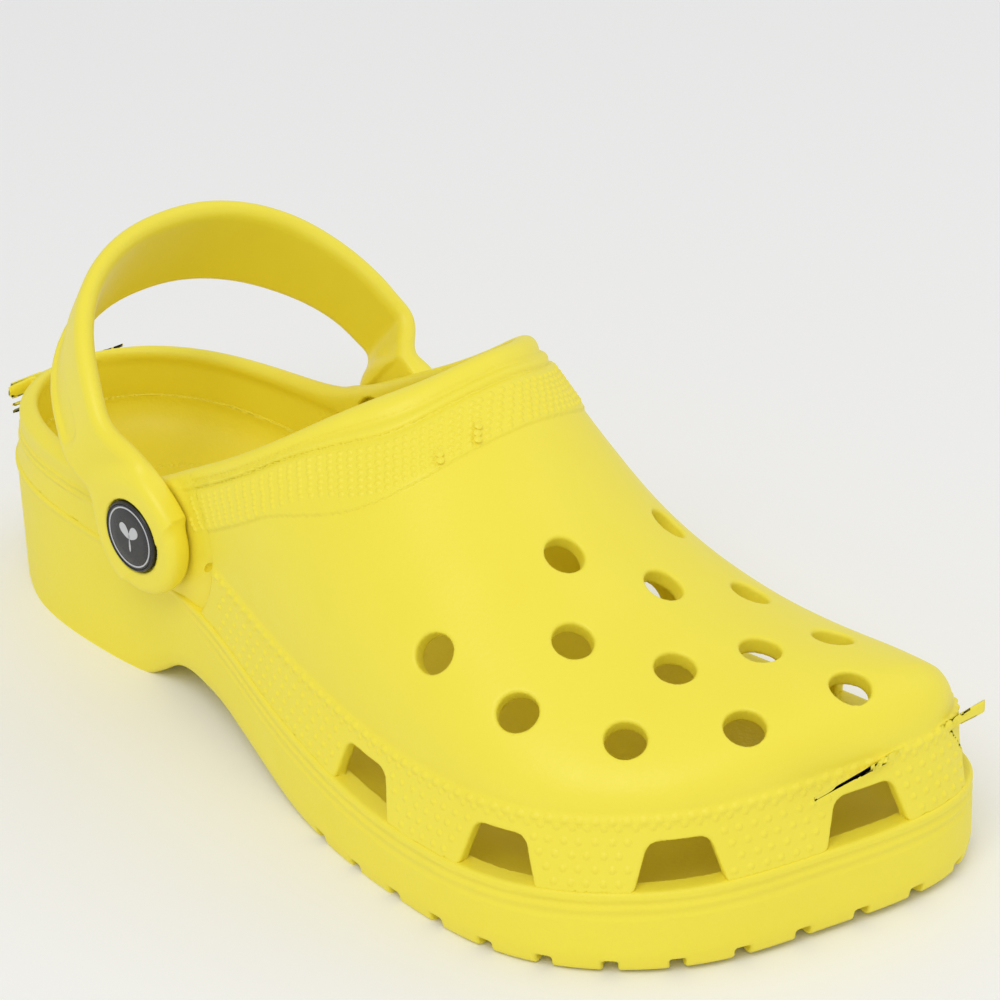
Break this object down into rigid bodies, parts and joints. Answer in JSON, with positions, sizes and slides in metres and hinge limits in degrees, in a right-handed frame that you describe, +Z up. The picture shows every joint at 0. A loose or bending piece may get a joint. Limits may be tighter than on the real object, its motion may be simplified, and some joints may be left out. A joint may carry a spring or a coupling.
{
  "type": "garden clog",
  "caption": "Foam rubber garden clog for the right foot, with a vented crown, side ports and a riveted heel strap that swings up and back.",
  "frame": {"origin": "on the ground, under the middle of the whole shoe", "axes": "+Z up; +Y towards the heel, so the toe points along -Y; -X is the lateral (outer) side of the right foot; the strap pivots lie on one line along X"},
  "size_m": [0.118, 0.2907, 0.1065],
  "materials": {
    "foam_sole": "satin closed-cell foam, lemon yellow",
    "foam_upper": "satin closed-cell foam with a fine leather-like grain, lemon yellow",
    "foam_strap": "smooth satin closed-cell foam, lemon yellow",
    "rivet_plastic": "black moulded plastic, semi-gloss",
    "rivet_cap_plastic": "yellow moulded plastic, matt",
    "badge_print": null
  },
  "bodies": {
    "clog": {"sole": "foam_sole", "upper": "foam_upper", "lateral_rivet": "rivet_plastic", "medial_rivet": "rivet_plastic", "lateral_rivet_cap": "rivet_cap_plastic", "medial_rivet_cap": "rivet_cap_plastic", "lateral_badge": "badge_print", "medial_badge": "badge_print"},
    "strap": {"heel_strap": "foam_strap"}
  },
  "joints": [
    {"name": "strap_swing", "type": "hinge", "parent": "clog", "child": "strap", "pos_m": [0.004, 0.0527, 0.0482], "axis": [1, 0, 0], "range_deg": [-22, 66]}
  ]
}
